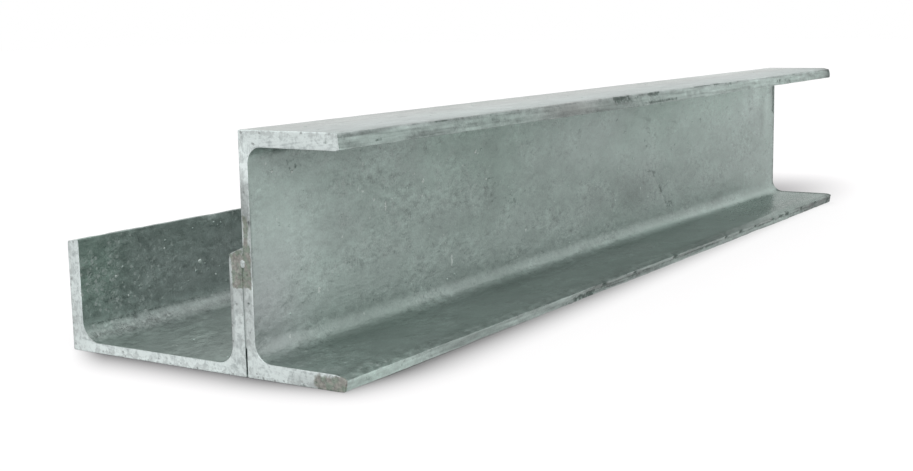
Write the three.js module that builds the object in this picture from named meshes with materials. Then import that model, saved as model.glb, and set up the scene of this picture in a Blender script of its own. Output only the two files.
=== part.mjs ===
// Galvanised corner post for a sleeper retaining wall.
// Two lengths of the same parallel flange channel are welded at right angles: one stands on a
// flange with its web upright, the other lies on its web with a flange against the first one's back.
// Millimetres, +Z up, +Y along the post. The origin is under the middle of the post, at floor level.

import * as THREE from 'three';

// ---- Rolled channel section, the same for both lengths ----
const postLength = 600;
const channelDepth = 100;
const flangeWidth = 50;
const webThickness = 4.4;
const flangeThickness = 6.7;
const rootRadius = 8;
const heelRadius = 0.8;
const toeLean = 1.2;
const toeOuterRadius = 1;
const toeInnerRadius = 0.6;
const arcSegments = 6;

// ---- How the two lengths meet ----
const seamGap = 0.6;

// ---- Stitch welds along the seam ----
const weldRise = 3;
const weldBulge = 0.15;
const weldRun = 72;
const weldMargin = 0.3;
const ripplePitch = 2.25;
const rippleDepth = 0.14;
const rippleBow = 1.5;
const stepsPerRipple = 5;
const craterLength = 7;
const craterScale = 0.45;

const steel = { color: 0x8b9994, roughness: 0.55, metalness: 0.7 };
const beadSteel = { color: 0xa3aeaa, roughness: 0.45, metalness: 0.75 };

// ---- Outline with rounded corners ----

// Each corner is { x, y, radius }. Straight edges join the corners, and an arc of the given
// radius is fitted tangent to both edges at each one.
function roundedOutline(corners) {
  const shape = new THREE.Shape();
  corners.forEach((corner, index) => {
    const before = corners.at(index - 1);
    const after = corners[(index + 1) % corners.length];
    const point = new THREE.Vector2(corner.x, corner.y);
    const toBefore = new THREE.Vector2(before.x, before.y).sub(point).normalize();
    const toAfter = new THREE.Vector2(after.x, after.y).sub(point).normalize();
    const halfAngle = Math.acos(toBefore.dot(toAfter)) / 2;
    const tangentLength = corner.radius / Math.tan(halfAngle);
    const centreDistance = corner.radius / Math.sin(halfAngle);
    const start = point.clone().addScaledVector(toBefore, tangentLength);
    const end = point.clone().addScaledVector(toAfter, tangentLength);
    const inward = toBefore.clone().add(toAfter).normalize();
    const centre = point.clone().addScaledVector(inward, centreDistance);
    const clockwise = toBefore.cross(toAfter) > 0;
    if (index === 0) {
      shape.moveTo(start.x, start.y);
    } else {
      shape.lineTo(start.x, start.y);
    }
    const startAngle = start.sub(centre).angle();
    const endAngle = end.sub(centre).angle();
    shape.absarc(centre.x, centre.y, corner.radius, startAngle, endAngle, clockwise);
  });
  shape.closePath();
  return shape;
}

// ---- Channel ----

// Each toe leans back towards the outer face of its flange. Its sharp inner corner lies just
// beyond the rounded one, which reaches flangeWidth.
const toeSlope = toeLean / flangeThickness;
const innerCornerAngle = Math.PI / 2 - Math.atan(toeSlope);
const toeTip = flangeWidth + toeInnerRadius * (1 / Math.tan(innerCornerAngle / 2) - 1);

// The section has its back on x = 0 and its flanges along +x.
function channelSection() {
  const lowerHalf = [
    { x: 0, y: 0, radius: heelRadius },
    { x: toeTip - toeLean, y: 0, radius: toeOuterRadius },
    { x: toeTip, y: flangeThickness, radius: toeInnerRadius },
    { x: webThickness, y: flangeThickness, radius: rootRadius },
  ];
  const upperHalf = lowerHalf.map(({ x, y, radius }) => ({ x, y: channelDepth - y, radius })).reverse();
  return roundedOutline([...lowerHalf, ...upperHalf]);
}

// Runs from y = +postLength / 2 to y = -postLength / 2, with the section's y turned up to +Z.
function channel(name) {
  const geometry = new THREE.ExtrudeGeometry(channelSection(), {
    depth: postLength,
    bevelEnabled: false,
    curveSegments: arcSegments,
  });
  geometry.rotateX(Math.PI / 2);
  geometry.translate(0, postLength / 2, 0);
  const mesh = new THREE.Mesh(geometry, new THREE.MeshStandardMaterial(steel));
  mesh.name = name;
  return mesh;
}

// ---- Weld ----

// The bead fills the corner between the lying channel's leaning toe and the upright channel's
// back. Its section is drawn from the root, where the toe's line reaches the back at x = 0.
const rootHeight = toeTip - toeSlope * (flangeThickness + seamGap);
const toeLeg = flangeThickness + seamGap - weldMargin;
const backLeg = toeTip + weldRise - rootHeight;

function weldSection() {
  const toePoint = new THREE.Vector2(-toeLeg, toeSlope * toeLeg);
  const backPoint = new THREE.Vector2(0, backLeg);
  const outward = new THREE.Vector2(toePoint.y - backPoint.y, backPoint.x - toePoint.x).normalize();
  const crown = toePoint.clone().add(backPoint).multiplyScalar(0.5);
  crown.addScaledVector(outward, 2 * weldBulge);
  const shape = new THREE.Shape();
  shape.moveTo(0, 0);
  shape.lineTo(backPoint.x, backPoint.y);
  shape.quadraticCurveTo(crown.x, crown.y, toePoint.x, toePoint.y);
  shape.closePath();
  return shape;
}

// Size of the bead at a point of its face, relative to the full section. across runs from -1 to 1
// between the bead's two edges. Each ripple is a shallow scallop that bows along the run, and an
// end that stops short of the post's end sinks into a crater.
function beadScale(along, across, openStart, openEnd) {
  const lead = rippleBow * (1 - across * across);
  const phase = 2 * (((along + lead) / ripplePitch) % 1) - 1;
  const scallop = 1 - rippleDepth * phase * phase;
  const fromStart = openStart ? along / craterLength : 1;
  const fromEnd = openEnd ? (weldRun - along) / craterLength : 1;
  const nearness = Math.min(1, fromStart, fromEnd);
  const crater = craterScale + (1 - craterScale) * Math.sin((Math.PI / 2) * nearness);
  return scallop * crater;
}

function weld(name, startY, openStart, openEnd) {
  const ripples = Math.round(weldRun / ripplePitch);
  const geometry = new THREE.ExtrudeGeometry(weldSection(), {
    depth: weldRun,
    steps: ripples * stepsPerRipple,
    bevelEnabled: false,
    curveSegments: arcSegments,
  });
  const position = geometry.getAttribute('position');
  for (let i = 0; i < position.count; i += 1) {
    const across = 1 + (2 * position.getX(i)) / toeLeg;
    const scale = beadScale(position.getZ(i), across, openStart, openEnd);
    position.setXY(i, position.getX(i) * scale, position.getY(i) * scale);
  }
  geometry.rotateX(Math.PI / 2);
  geometry.translate(0, startY + weldRun, rootHeight);
  const mesh = new THREE.Mesh(geometry, new THREE.MeshStandardMaterial(beadSteel));
  mesh.name = name;
  return mesh;
}

// ---- Assembly ----

const post = new THREE.Group();

// The upright channel's back is the plane that the lying channel and the welds meet.
const seam = new THREE.Group();
seam.position.x = (channelDepth + seamGap - flangeWidth) / 2;
post.add(seam);

seam.add(channel('upright_channel'));

const lying = new THREE.Group();
lying.position.x = -seamGap;
lying.rotation.y = -Math.PI / 2;
lying.add(channel('lying_channel'));
seam.add(lying);

const frontEnd = -postLength / 2;
seam.add(weld('fillet_weld_front', frontEnd, true, false));
seam.add(weld('fillet_weld_middle', -weldRun / 2, true, true));
seam.add(weld('fillet_weld_rear', -frontEnd - weldRun, false, true));

export default post;
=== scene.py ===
import math
import random
from collections import namedtuple
from functools import reduce

import bpy
import numpy as np
from mathutils import Matrix, Vector, geometry, noise


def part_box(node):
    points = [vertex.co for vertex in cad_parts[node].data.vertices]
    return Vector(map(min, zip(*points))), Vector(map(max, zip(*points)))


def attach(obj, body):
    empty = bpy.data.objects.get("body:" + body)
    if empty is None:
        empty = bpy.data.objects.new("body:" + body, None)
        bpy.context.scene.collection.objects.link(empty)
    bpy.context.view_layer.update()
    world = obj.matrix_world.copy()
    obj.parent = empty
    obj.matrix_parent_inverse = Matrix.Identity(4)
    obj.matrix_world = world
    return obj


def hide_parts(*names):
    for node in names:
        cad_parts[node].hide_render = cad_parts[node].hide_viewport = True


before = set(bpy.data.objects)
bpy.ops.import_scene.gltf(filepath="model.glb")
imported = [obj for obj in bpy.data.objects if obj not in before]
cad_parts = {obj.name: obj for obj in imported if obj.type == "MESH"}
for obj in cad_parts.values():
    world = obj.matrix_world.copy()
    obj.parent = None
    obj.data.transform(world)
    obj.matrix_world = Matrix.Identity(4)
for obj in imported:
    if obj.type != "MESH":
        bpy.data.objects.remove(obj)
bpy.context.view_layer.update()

# Galvanised corner post: two lengths of channel welded at right angles, lying on a pale floor.
# Everything is in metres, in the CAD's frame. The near end is at -Y.

MM = 0.001

# ---- The rolled section, as the CAD draws it ----

WEB = 4.4 * MM
FLANGE = 6.7 * MM
ROOT_RADIUS = 8 * MM
HEEL_RADIUS = 0.8 * MM
TOE_LEAN = 1.2 * MM
TOE_OUTER_RADIUS = 1.0 * MM
TOE_INNER_RADIUS = 0.6 * MM

UPRIGHT_LOW, UPRIGHT_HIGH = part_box("upright_channel")
LYING_LOW, LYING_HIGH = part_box("lying_channel")
DEPTH = UPRIGHT_HIGH.z - UPRIGHT_LOW.z
WIDTH = UPRIGHT_HIGH.x - UPRIGHT_LOW.x
NEAR_END = UPRIGHT_LOW.y
FAR_END = UPRIGHT_HIGH.y
BACK_X = UPRIGHT_LOW.x
SEAM_X = (UPRIGHT_LOW.x + LYING_HIGH.x) / 2

TOE_SLOPE = TOE_LEAN / FLANGE
INNER_CORNER = math.pi / 2 - math.atan(TOE_SLOPE)
TOE_TIP = WIDTH + TOE_INNER_RADIUS * (1 / math.tan(INNER_CORNER / 2) - 1)

# ---- How finely the coated surface is modelled ----

BACK_STEP = 3.6 * MM
OUTER_STEP = 2.8 * MM
TOE_STEP = 0.7 * MM
INNER_STEP = 1.8 * MM
WEB_STEP = 1.5 * MM
LENGTH_STEP = 1.35 * MM
CAP_STEP = 0.7 * MM
CAP_JITTER = 0.2
CAP_CLEAR = 0.55
CAP_SEED = 7
HEEL_STEPS, TOE_OUTER_STEPS, TOE_INNER_STEPS, ROOT_STEPS = 4, 5, 4, 9

# The sawn ends: how far they stand back, how their edge rounds, where their relief eases in
END_SETBACK = 0.3 * MM
END_ROUNDING = 0.18 * MM
CAP_EASE = 1.5 * MM


# ---- Camera ----

PHOTO_WIDTH = 913
FOCAL_PX = 1369.0
SENSOR_MM = 36.0
CAMERA_AT = Vector((0.3851, -0.7043, 0.1412))
CAMERA_AZIMUTH = 0.5694
CAMERA_PITCH = 0.1574
CAMERA_ROLL = -0.0189


def make_camera():
    """A camera at the photo's viewing angle, fitted to edges and corners measured in the photo."""
    forward = Vector((-math.sin(CAMERA_AZIMUTH) * math.cos(CAMERA_PITCH),
                      math.cos(CAMERA_AZIMUTH) * math.cos(CAMERA_PITCH),
                      -math.sin(CAMERA_PITCH)))
    level_right = Vector((math.cos(CAMERA_AZIMUTH), math.sin(CAMERA_AZIMUTH), 0))
    level_up = level_right.cross(forward)
    right = level_right * math.cos(CAMERA_ROLL) + level_up * math.sin(CAMERA_ROLL)
    up = right.cross(forward)
    data = bpy.data.cameras.new("camera")
    data.sensor_width = SENSOR_MM
    data.lens = FOCAL_PX * SENSOR_MM / PHOTO_WIDTH
    camera = bpy.data.objects.new("camera", data)
    bpy.context.scene.collection.objects.link(camera)
    turn = Matrix((right, up, -forward)).transposed()
    camera.matrix_world = Matrix.Translation(CAMERA_AT) @ turn.to_4x4()
    bpy.context.scene.camera = camera


# ---- Node graphs ----

DARKEST = 0.15


class Graph:
    """The node tree of one material or world, with a method for each kind of node used here."""

    def __init__(self, owner):
        owner.use_nodes = True
        self.tree = owner.node_tree
        self.tree.nodes.clear()

    def node(self, kind, inputs=None, **settings):
        """Adds a shader node. inputs says what each of its sockets is fed with."""
        made = self.tree.nodes.new("ShaderNode" + kind)
        for key, value in settings.items():
            setattr(made, key, value)
        for key, value in (inputs or {}).items():
            self.feed(made.inputs[key], value)
        return made

    def feed(self, socket, value):
        """Links an output to a socket, or writes a plain number or colour on it."""
        if isinstance(value, bpy.types.NodeSocket):
            self.tree.links.new(value, socket)
        elif socket.type == "RGBA":
            socket.default_value = (*value, 1)
        else:
            socket.default_value = value

    def place(self, stretch=None):
        """A point's place on the object in metres, with each axis scaled by stretch."""
        spot = self.node("TexCoord").outputs["Object"]
        if stretch is None:
            return spot
        return self.vector("MULTIPLY", spot, stretch)

    def noise(self, place, scale, detail=3.0, roughness=0.55, distortion=0.0):
        inputs = {"Vector": place, "Scale": scale, "Detail": detail, "Roughness": roughness,
                  "Distortion": distortion}
        return self.node("TexNoise", inputs).outputs["Fac"]

    def math(self, operation, a, b=0.0, c=0.0):
        return self.node("Math", {0: a, 1: b, 2: c}, operation=operation).outputs[0]

    def vector(self, operation, a, b):
        """Vector maths. b is a vector too, but for SCALE it is a number."""
        second = 3 if operation == "SCALE" else 1
        return self.node("VectorMath", {0: a, second: b}, operation=operation).outputs[0]

    def times(self, *factors):
        return reduce(lambda a, b: self.math("MULTIPLY", a, b), factors)

    def plus(self, *terms):
        return reduce(lambda a, b: self.math("ADD", a, b), terms)

    def swing(self, value, amount):
        """Turns a noise around one half into one around zero, of the given strength."""
        return self.math("MULTIPLY_ADD", value, amount, -amount / 2)

    def clamp(self, value):
        return self.node("Clamp", {0: value}).outputs[0]

    def step(self, value, low, high):
        """Rises smoothly from 0 at low to 1 at high."""
        inputs = {"Value": value, "From Min": low, "From Max": high}
        return self.node("MapRange", inputs, interpolation_type="SMOOTHSTEP").outputs[0]

    def remap(self, value, low, high, to_low, to_high):
        inputs = {"Value": value, "From Min": low, "From Max": high, "To Min": to_low, "To Max": to_high}
        return self.node("MapRange", inputs).outputs[0]

    def mix(self, factor, a, b):
        """Blends two numbers."""
        return self.node("Mix", {0: factor, 2: a, 3: b}, data_type="FLOAT").outputs[0]

    def blend(self, factor, a, b):
        """Blends two colours."""
        return self.node("Mix", {0: factor, 6: a, 7: b}, data_type="RGBA").outputs[2]

    def brighten(self, color, gain):
        """Scales a colour by 1 + gain, and at least by DARKEST."""
        scale = self.math("MAXIMUM", self.math("ADD", gain, 1.0), DARKEST)
        return self.vector("SCALE", color, scale)

    def specks(self, place, size, radius, share):
        """Round spots of the given radius, in a share of the cells of the given size."""
        cell = self.node("TexVoronoi", {"Vector": place, "Scale": 1 / size})
        chance = self.node("SeparateColor", {0: cell.outputs["Color"]}).outputs[0]
        near = self.step(cell.outputs["Distance"], radius / size, 0.5 * radius / size)
        return self.times(near, self.math("LESS_THAN", chance, share))

    def painted(self, name):
        """A value painted on the mesh."""
        return self.node("Attribute", attribute_name=name).outputs["Fac"]

    def warped(self, place, scale, reach):
        """A place moved about by noise, by up to about half of reach."""
        drift = self.node("TexNoise", {"Vector": place, "Scale": scale}).outputs["Color"]
        centred = self.vector("SUBTRACT", drift, (0.5, 0.5, 0.5))
        return self.vector("ADD", place, self.vector("SCALE", centred, reach))

    def bump(self, height, distance, strength=1.0):
        inputs = {"Strength": strength, "Distance": distance, "Height": height}
        return self.node("Bump", inputs).outputs["Normal"]

    def finish(self, color, roughness, metallic, normal, grazing_tint):
        inputs = {"Base Color": color, "Roughness": roughness, "Metallic": metallic, "Normal": normal,
                  "Specular Tint": grazing_tint}
        shader = self.node("BsdfPrincipled", inputs).outputs["BSDF"]
        self.node("OutputMaterial", {"Surface": shader})


# ---- Stage ----

FLOOR_HALF = 6.0
FLOOR_COLOR = (0.325, 0.315, 0.32)
FLOOR_GLOW = 0.75

# Shade close to the post: where along it the reach and depth are given, how fast it falls off,
# and over which distances it comes in past the post's near corners
CONTACT_SPAN = (-0.31, 0.25)
CONTACT_REACH = (0.032, 0.006)
CONTACT_DEPTH = (1.05, 0.04)
CONTACT_FALL = 1.9
LEFT_CORNER = (0.005, -0.021)
LEFT_CORNER_Y = (-0.275, -0.235)
RIGHT_CORNER = (0.038, -0.045)

# Shade beyond the far end: the rectangle that it spreads from, and its reach and depth
CAST_LOW = (-0.06, 0.0)
CAST_HIGH = (0.0, 0.30)
CAST_SPREAD = 2.3
CAST_REACH = 0.21
CAST_DEPTH = 0.92
CAST_BEHIND = (0.27, 0.30)

WORLD_LIGHT = 0.68
KEY_FROM = Vector((0.50, -0.85, 1.1))
KEY_STRENGTH = 1.1
KEY_ANGLE = math.radians(70)


def distance_outside(graph, x, y, low, high, spread=1.0):
    """How far a point of the floor lies outside a rectangle, stretched across the post by spread."""
    past_x = graph.math("MAXIMUM", graph.math("SUBTRACT", x, high[0]), graph.math("SUBTRACT", low[0], x))
    past_y = graph.math("MAXIMUM", graph.math("SUBTRACT", y, high[1]), graph.math("SUBTRACT", low[1], y))
    across = graph.math("POWER", graph.times(graph.clamp(past_x), spread), 2.0)
    along = graph.math("POWER", graph.clamp(past_y), 2.0)
    return graph.math("SQRT", graph.plus(across, along))


def contact_shade(graph, x, y):
    """Close to the post: deepest and widest at its near end, and fainter by its near corners."""
    reach = graph.remap(y, *CONTACT_SPAN, *CONTACT_REACH)
    share = graph.math("DIVIDE", distance_outside(graph, x, y, LYING_LOW, UPRIGHT_HIGH), reach)
    fall = graph.math("POWER", graph.clamp(graph.math("SUBTRACT", 1.0, share)), CONTACT_FALL)
    depth = graph.remap(y, *CONTACT_SPAN, *CONTACT_DEPTH)
    in_front = graph.math("SUBTRACT", NEAR_END, y)
    past_left = graph.plus(graph.math("SUBTRACT", LYING_LOW.x, x), graph.clamp(in_front))
    left = graph.math("MAXIMUM", graph.step(past_left, *LEFT_CORNER), graph.step(y, *LEFT_CORNER_Y))
    past_right = graph.plus(graph.math("SUBTRACT", x, UPRIGHT_HIGH.x), in_front)
    return graph.clamp(graph.times(fall, depth, left, graph.step(past_right, *RIGHT_CORNER)))


def cast_shade(graph, x, y):
    """Behind the far end, where the post keeps the light off."""
    distance = distance_outside(graph, x, y, CAST_LOW, CAST_HIGH, CAST_SPREAD)
    return graph.times(graph.step(distance, CAST_REACH, 0.0), graph.step(y, *CAST_BEHIND), CAST_DEPTH)


def make_floor():
    """A pale floor. The camera and the reflections see it glow white, and the camera alone sees
    that glow darken: close to the post, most at its near end, and softly behind its far end."""
    material = bpy.data.materials.new("floor")
    graph = Graph(material)
    paint = graph.node("BsdfDiffuse", {"Color": FLOOR_COLOR}).outputs[0]
    axes = graph.node("SeparateXYZ", {0: graph.place()})
    x, y = axes.outputs["X"], axes.outputs["Y"]
    lit = graph.times(graph.math("SUBTRACT", 1.0, contact_shade(graph, x, y)),
                      graph.math("SUBTRACT", 1.0, cast_shade(graph, x, y)))
    path = graph.node("LightPath")
    seen = graph.times(path.outputs["Is Camera Ray"], lit)
    visible = graph.math("MAXIMUM", seen, path.outputs["Is Glossy Ray"])
    glow = graph.node("Emission", {"Strength": graph.times(visible, FLOOR_GLOW)}).outputs[0]
    both = graph.node("AddShader", {0: paint, 1: glow}).outputs[0]
    graph.node("OutputMaterial", {"Surface": both})
    mesh = bpy.data.meshes.new("floor")
    corners = [(x * FLOOR_HALF, y * FLOOR_HALF, 0) for x, y in ((-1, -1), (1, -1), (1, 1), (-1, 1))]
    mesh.from_pydata(corners, [], [(0, 1, 2, 3)])
    mesh.materials.append(material)
    floor = bpy.data.objects.new("floor", mesh)
    bpy.context.scene.collection.objects.link(floor)


def make_world():
    """White for the camera and for reflections, and WORLD_LIGHT for the light that falls."""
    world = bpy.data.worlds.new("studio")
    bpy.context.scene.world = world
    graph = Graph(world)
    path = graph.node("LightPath")
    seen = graph.math("MAXIMUM", path.outputs["Is Camera Ray"], path.outputs["Is Glossy Ray"])
    strength = graph.mix(seen, WORLD_LIGHT, 1.0)
    sky = graph.node("Background", {"Color": (1, 1, 1), "Strength": strength}).outputs[0]
    graph.node("OutputWorld", {"Surface": sky})


def make_key_light():
    data = bpy.data.lights.new("key", "SUN")
    data.energy = KEY_STRENGTH
    data.angle = KEY_ANGLE
    light = bpy.data.objects.new("key", data)
    bpy.context.scene.collection.objects.link(light)
    light.rotation_euler = (-KEY_FROM).to_track_quat("-Z", "Y").to_euler()


# ---- Section outline ----

# One row for each point of the outline: its place, its outward direction, how much it belongs to
# the toe's face, to a rolled edge, to the root fillet, and to the outside of the section.
Outline = namedtuple("Outline", "points normals toe edge root outside")


def corner_arc(before, corner, after, radius, steps):
    """Points and outward directions along the arc that rounds a corner of a left-turning outline."""
    to_before = (before - corner).normalized()
    to_after = (after - corner).normalized()
    half = to_before.angle(to_after) / 2
    inward = (to_before + to_after).normalized()
    centre = corner + inward * radius / math.sin(half)
    convex = to_before.x * to_after.y - to_before.y * to_after.x < 0
    start = corner + to_before * radius / math.tan(half) - centre
    sweep = (math.pi - 2 * half) * (1 if convex else -1)
    points, normals = [], []
    for i in range(steps + 1):
        turn = Matrix.Rotation(sweep * i / steps, 2)
        arm = turn @ start
        points.append(centre + arm)
        normals.append(arm.normalized() * (1 if convex else -1))
    return points, normals


def section_outline():
    """The channel's section, with its back on u = 0, its flanges along +u and v across its depth."""
    lower = [(0, 0, HEEL_RADIUS, HEEL_STEPS, "heel"),
             (TOE_TIP - TOE_LEAN, 0, TOE_OUTER_RADIUS, TOE_OUTER_STEPS, "toe"),
             (TOE_TIP, FLANGE, TOE_INNER_RADIUS, TOE_INNER_STEPS, "toe"),
             (WEB, FLANGE, ROOT_RADIUS, ROOT_STEPS, "root")]
    upper = [(u, DEPTH - v, radius, steps, kind) for u, v, radius, steps, kind in reversed(lower)]
    corners = lower + upper
    runs = [("outer", OUTER_STEP), ("toe", TOE_STEP), ("inner", INNER_STEP), ("web", WEB_STEP),
            ("inner", INNER_STEP), ("toe", TOE_STEP), ("outer", OUTER_STEP), ("outer", BACK_STEP)]
    places = [Vector(corner[:2]) for corner in corners]
    following = places[1:] + places[:1]
    arcs = [corner_arc(places[i - 1], places[i], following[i], *corner[2:4])
            for i, corner in enumerate(corners)]
    rows = []
    for i, (points, normals) in enumerate(arcs):
        kind = corners[i][4]
        for k, (point, normal) in enumerate(zip(points, normals)):
            bulge = math.sin(math.pi * k / (len(points) - 1)) if kind == "root" else 0.0
            rows.append((point, normal, float(kind == "toe"), float(kind in ("toe", "heel")), bulge,
                         float(kind != "root")))
        run, step = runs[i]
        start, end = points[-1], arcs[(i + 1) % len(arcs)][0][0]
        count = max(1, round((end - start).length / step))
        for k in range(1, count):
            rows.append((start.lerp(end, k / count), normals[-1], float(run == "toe"), 0.0, 0.0,
                         float(run in ("toe", "outer"))))
    columns = list(zip(*rows))
    return Outline(*[np.array(column, float) for column in columns])


OUTLINE = section_outline()


# ---- Marks on the coating ----

# A mark runs from start to end in millimetres. It dents the surface by dent, or raises it where
# that is negative, and paints dark stain, painted glint and rust on it.
Mark = namedtuple("Mark", "start end radius dent stain shine rust", defaults=(0, 0, 0, 0))

# A patch adds its amount to one painted layer, most at its centre and fading out at its size.
Patch = namedtuple("Patch", "layer centre size amount")

PAINT_LAYERS = ("tone", "hue", "warm", "crust", "gloss", "stain", "shine", "rust", "toe", "edge", "end",
                "across")
MARKS_SEED = 4

# How fast a mark fades across its radius, and how many radii along the post it reaches
MARK_FALL = 1.4
MARK_REACH = 3

# Where the faces lie, in millimetres
TOE_X = UPRIGHT_HIGH.x / MM
WEB_X = (UPRIGHT_LOW.x + WEB) / MM
SIDE_X = (LYING_LOW.x + FLANGE) / MM
TOP_Z = UPRIGHT_HIGH.z / MM
LEDGE_Z = FLANGE / MM
TROUGH_Z = WEB / MM
TOE_INSET = 0.5
ROOT_INSET = 0.25

# A patch with this half length is even along the whole post.
LONG = 1000

# Notches in the lower toe's lip: where along the post, half the length and the radius.
LOW_TOE_NOTCHES = [(-78, 0.9, 2), (-41.5, 0.9, 1.4), (13, 0.9, 2.6), (91, 0.9, 2), (116, 0.9, 2.6),
                   (142, 0.9, 2), (175, 1.6, 2), (191, 3.2, 2.1), (203, 2.2, 2.4), (232, 0.9, 1.5),
                   (263, 0.9, 1.5)]
FLECK_RISE = 0.08
BLOT_DENT = 0.06


def unit(values):
    """Values kept between 0 and 1."""
    return np.clip(values, 0, 1)


def blank_layers(count, **painted):
    """The painted layers at count points: what is given for a layer, or else 0."""
    return {name: np.zeros(count) + painted.get(name, 0) for name in PAINT_LAYERS}


def mark_weight(points, mark):
    """How strongly a mark acts at each point, from 0 to 1."""
    start, end = np.array(mark.start) * MM, np.array(mark.end) * MM
    radius = mark.radius * MM
    along = end - start
    weight = np.zeros(len(points))
    low, high = sorted((start[1], end[1]))
    reach = MARK_REACH * radius
    near = np.flatnonzero((points[:, 1] > low - reach) & (points[:, 1] < high + reach))
    arms = points[near] - start
    share = unit(arms @ along / max(along @ along, 1e-12))
    gap = np.linalg.norm(arms - share[:, None] * along, axis=1) / radius
    weight[near] = np.exp(-gap ** 2 * MARK_FALL)
    return weight


def patch_weight(points, patch):
    """How strongly a patch acts at each point, from 0 to 1."""
    gap = (points / MM - np.array(patch.centre)) / np.array(patch.size)
    return np.exp(-(gap ** 2).sum(axis=1))


def paint(points, marks, patches, layers):
    """Adds marks and patches to the painted layers, and returns how deep the marks dent."""
    depth = np.zeros(len(points))
    for mark in marks:
        weight = mark_weight(points, mark)
        depth += mark.dent * MM * weight
        for name in ("stain", "shine", "rust"):
            layers[name] = np.maximum(layers[name], getattr(mark, name) * weight)
    for patch in patches:
        layers[patch.layer] += patch.amount * patch_weight(points, patch)
    return depth


# Below, a face is given by its x, or by a function that gives its x at a height z.

def face_point(face, y, z):
    return (face(z) if callable(face) else face), y, z


def toe_face(z):
    """Where the upright channel's toe faces lie at a height z, in millimetres."""
    from_tip = min(z, TOP_Z - z) * MM
    return TOE_X - TOE_INSET - (FLANGE - from_tip) * TOE_SLOPE / MM


def spot(x, y, z, radius, *amounts):
    return Mark((x, y, z), (x, y, z), radius, *amounts)


def runs(face, *rows):
    """Single marks. Each row is y and z of both ends, the radius, dent, stain, glint and rust."""
    return [Mark(face_point(face, *row[:2]), face_point(face, *row[2:4]), *row[4:]) for row in rows]


def scabs(rng, face, *rows):
    """Broken patches of small pits, scattered over a stretch of a face. Each row is its lowest and
    highest y and z, how many pits, their radius, dent and stain."""
    marks = []
    for y_low, y_high, z_low, z_high, count, radius, dent, stain in rows:
        x = face_point(face, 0, (z_low + z_high) / 2)[0]
        for _ in range(count):
            y, z = rng.uniform(y_low, y_high), rng.uniform(z_low, z_high)
            length = rng.uniform(0, 2.5)
            marks.append(Mark((x, y, z), (x, y + length, z + rng.uniform(-0.4, 0.4)),
                              radius * rng.uniform(0.6, 1.3), dent * rng.uniform(0.5, 1.2), stain))
    return marks


def flecks(rng, x, *rows):
    """Short raised runs of zinc, upright on a face, painted bright as glint. Each row is the lowest and
    highest y and z, and how many."""
    marks = []
    for y_low, y_high, z_low, z_high, count in rows:
        for _ in range(count):
            y, z = rng.uniform(y_low, y_high), rng.uniform(z_low, z_high)
            fall = rng.uniform(0, 1.7) ** 1.5
            marks.append(Mark((x, y, z), (x, y + rng.uniform(-0.8, 0.8), z - fall),
                              rng.uniform(0.45, 0.75), -FLECK_RISE, 0, rng.uniform(0.35, 0.75)))
    return marks


def broken_line(rng, start, end, radius, dent, stain, gap_share):
    """A line of short dents from start to end, with gaps between them."""
    start, end = Vector(start), Vector(end)
    length = (end - start).length
    marks, at = [], 0.0
    while at < length:
        run = rng.uniform(2, 9)
        stop = min(at + run, length)
        a, b = start.lerp(end, at / length), start.lerp(end, stop / length)
        shift = rng.uniform(-0.25, 0.25)
        marks.append(Mark((a.x, a.y, a.z + shift), (b.x, b.y, b.z + shift), radius * rng.uniform(0.7, 1.3),
                          dent, stain * rng.uniform(0.7, 1.2)))
        at = stop + rng.uniform(0, 2 * gap_share) * run
    return marks


def lines(rng, face, *rows):
    """Broken lines on a face. Each row is y and z of both ends, radius, dent, stain and gap share."""
    return [mark for row in rows
            for mark in broken_line(rng, face_point(face, *row[:2]), face_point(face, *row[2:4]), *row[4:])]


def lower_toe_marks(rng):
    """Notches in the lip, pits, a dark scab, a painted highlight along the lip and a long lap line under it.
    """
    notches = [(y - half, 5.2, y + half, 4.9, radius, 1.0, 1.45) for y, half, radius in LOW_TOE_NOTCHES]
    marks = runs(
        toe_face, *notches, (-286, 3.4, -285, 3.4, 1, 0.25, 0.8), (-281, 3, -281, 3, 0.9, 0.2, 0.7),
        (-262, 3.2, -262, 3.2, 1.1, 0.3, 1.2), (-219, 4, -218, 4, 0.9, 0.3, 0.8),
        (-175, 5.3, 205, 5.3, 0.8, -0.05, 0, 0.8), (148, 5.7, 170, 5.7, 0.9, -0.05, 0, 1.1))
    marks += scabs(
        rng, toe_face, (-272, -235, 1, 4.4, 12, 0.6, 0.1, 0.5), (-234, -214, 1.2, 4.2, 12, 0.7, 0.15, 0.55),
        (-112, -90, 0.2, 3.4, 40, 1.2, 0.35, 1.35), (-126, -110, 0.4, 2, 14, 0.9, 0.2, 0.9),
        (-92, -68, 0.2, 2.2, 16, 0.9, 0.2, 0.9), (205, 298, 0.6, 5, 60, 1.3, 0.15, 0.8))
    marks += lines(
        rng, toe_face, (-100, 3.1, 54, 3.3, 1.1, 0.3, 1, 0.06), (58, 3.3, 205, 3.5, 1, 0.3, 0.95, 0.2),
        (-180, 2, -112, 2.3, 0.6, 0.2, 0.5, 0.4))
    return marks + scabs(rng, toe_face, (289, 300, 0, 6, 20, 1.4, 0.1, 1.2))


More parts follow.
